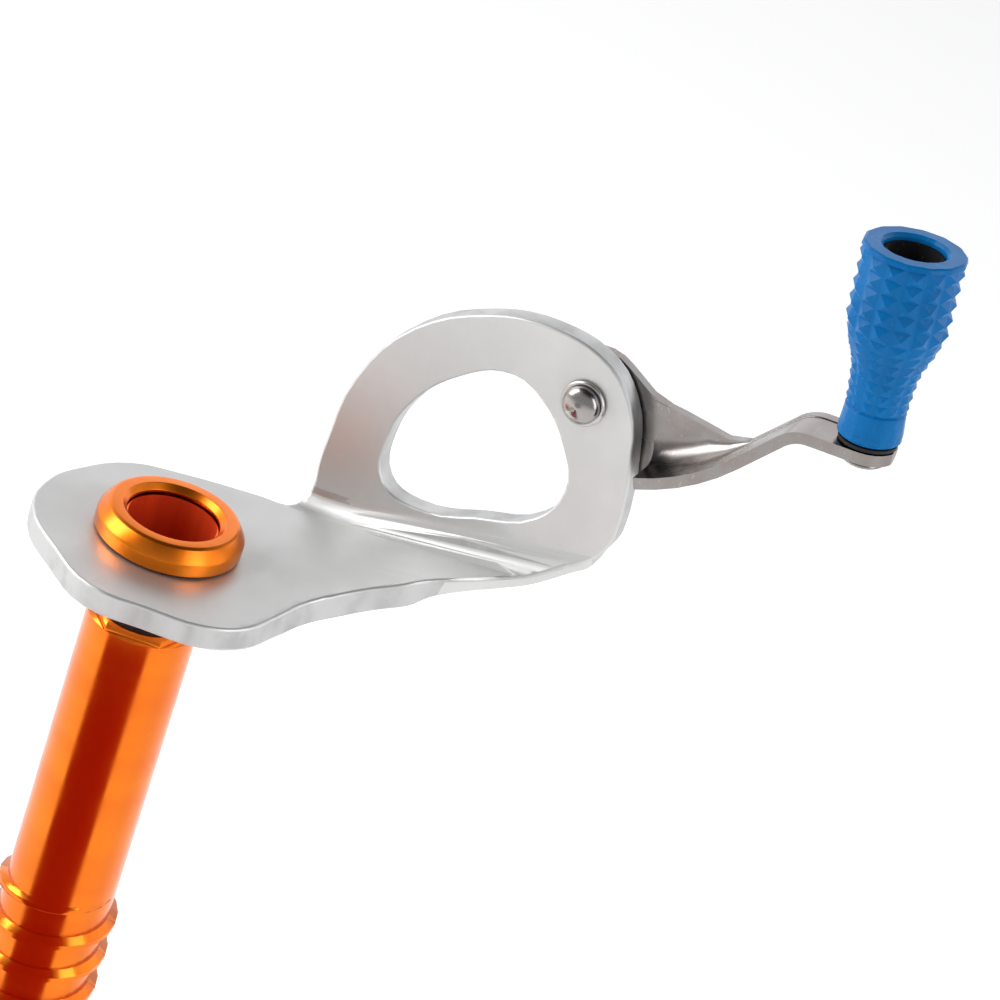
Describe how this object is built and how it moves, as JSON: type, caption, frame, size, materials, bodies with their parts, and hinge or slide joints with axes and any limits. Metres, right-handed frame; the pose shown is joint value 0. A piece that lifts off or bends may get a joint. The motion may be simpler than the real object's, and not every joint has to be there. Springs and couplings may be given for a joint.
{
  "type": "ice screw",
  "caption": "Tubular ice screw with a helical thread, toothed steel tip, bent hanger with a carabiner eye, and a folding crank with a spinning knob.",
  "frame": {"origin": "where the tube's axis meets the hanger's ice side", "axes": "+Z along the tube's axis towards the head, +X along the hanger's ear towards the crank, +Y to the back of the ear"},
  "size_m": [0.1152, 0.0577, 0.2174],
  "materials": {
    "tube": "orange anodised, fine turning marks",
    "cutting_tip": "ground steel",
    "head_ring": "orange anodised, turned",
    "neck_collar": "black moulded",
    "hanger": "satin, clear anodised",
    "pivot_washer": "turned",
    "pivot_rivet": "polished dome",
    "crank_arm": "stainless, tumbled",
    "knob_washer": "black moulded",
    "knob_axle": "turned",
    "knob_liner": "black moulded",
    "knob_grip": "blue moulded grip, semi-gloss"
  },
  "bodies": {
    "screw": {"tube": "tube", "cutting_tip": "cutting_tip", "head_ring": "head_ring", "neck_collar": "neck_collar", "hanger": "hanger", "pivot_washer": "pivot_washer", "pivot_rivet": "pivot_rivet"},
    "crank": {"crank_arm": "crank_arm", "knob_washer": "knob_washer", "knob_axle": "knob_axle"},
    "knob": {"knob_liner": "knob_liner", "knob_grip": "knob_grip"}
  },
  "joints": [
    {"name": "crank_fold", "type": "hinge", "parent": "screw", "child": "crank", "pos_m": [0.0467, 0.03, 0.042], "axis": [0, -1, 0], "range_deg": [0, 148]},
    {"name": "knob_spin", "type": "hinge", "parent": "crank", "child": "knob", "pos_m": [0.08907, 0.028, 0.05712], "axis": [-0.1219, 0, 0.9925], "continuous": true}
  ]
}
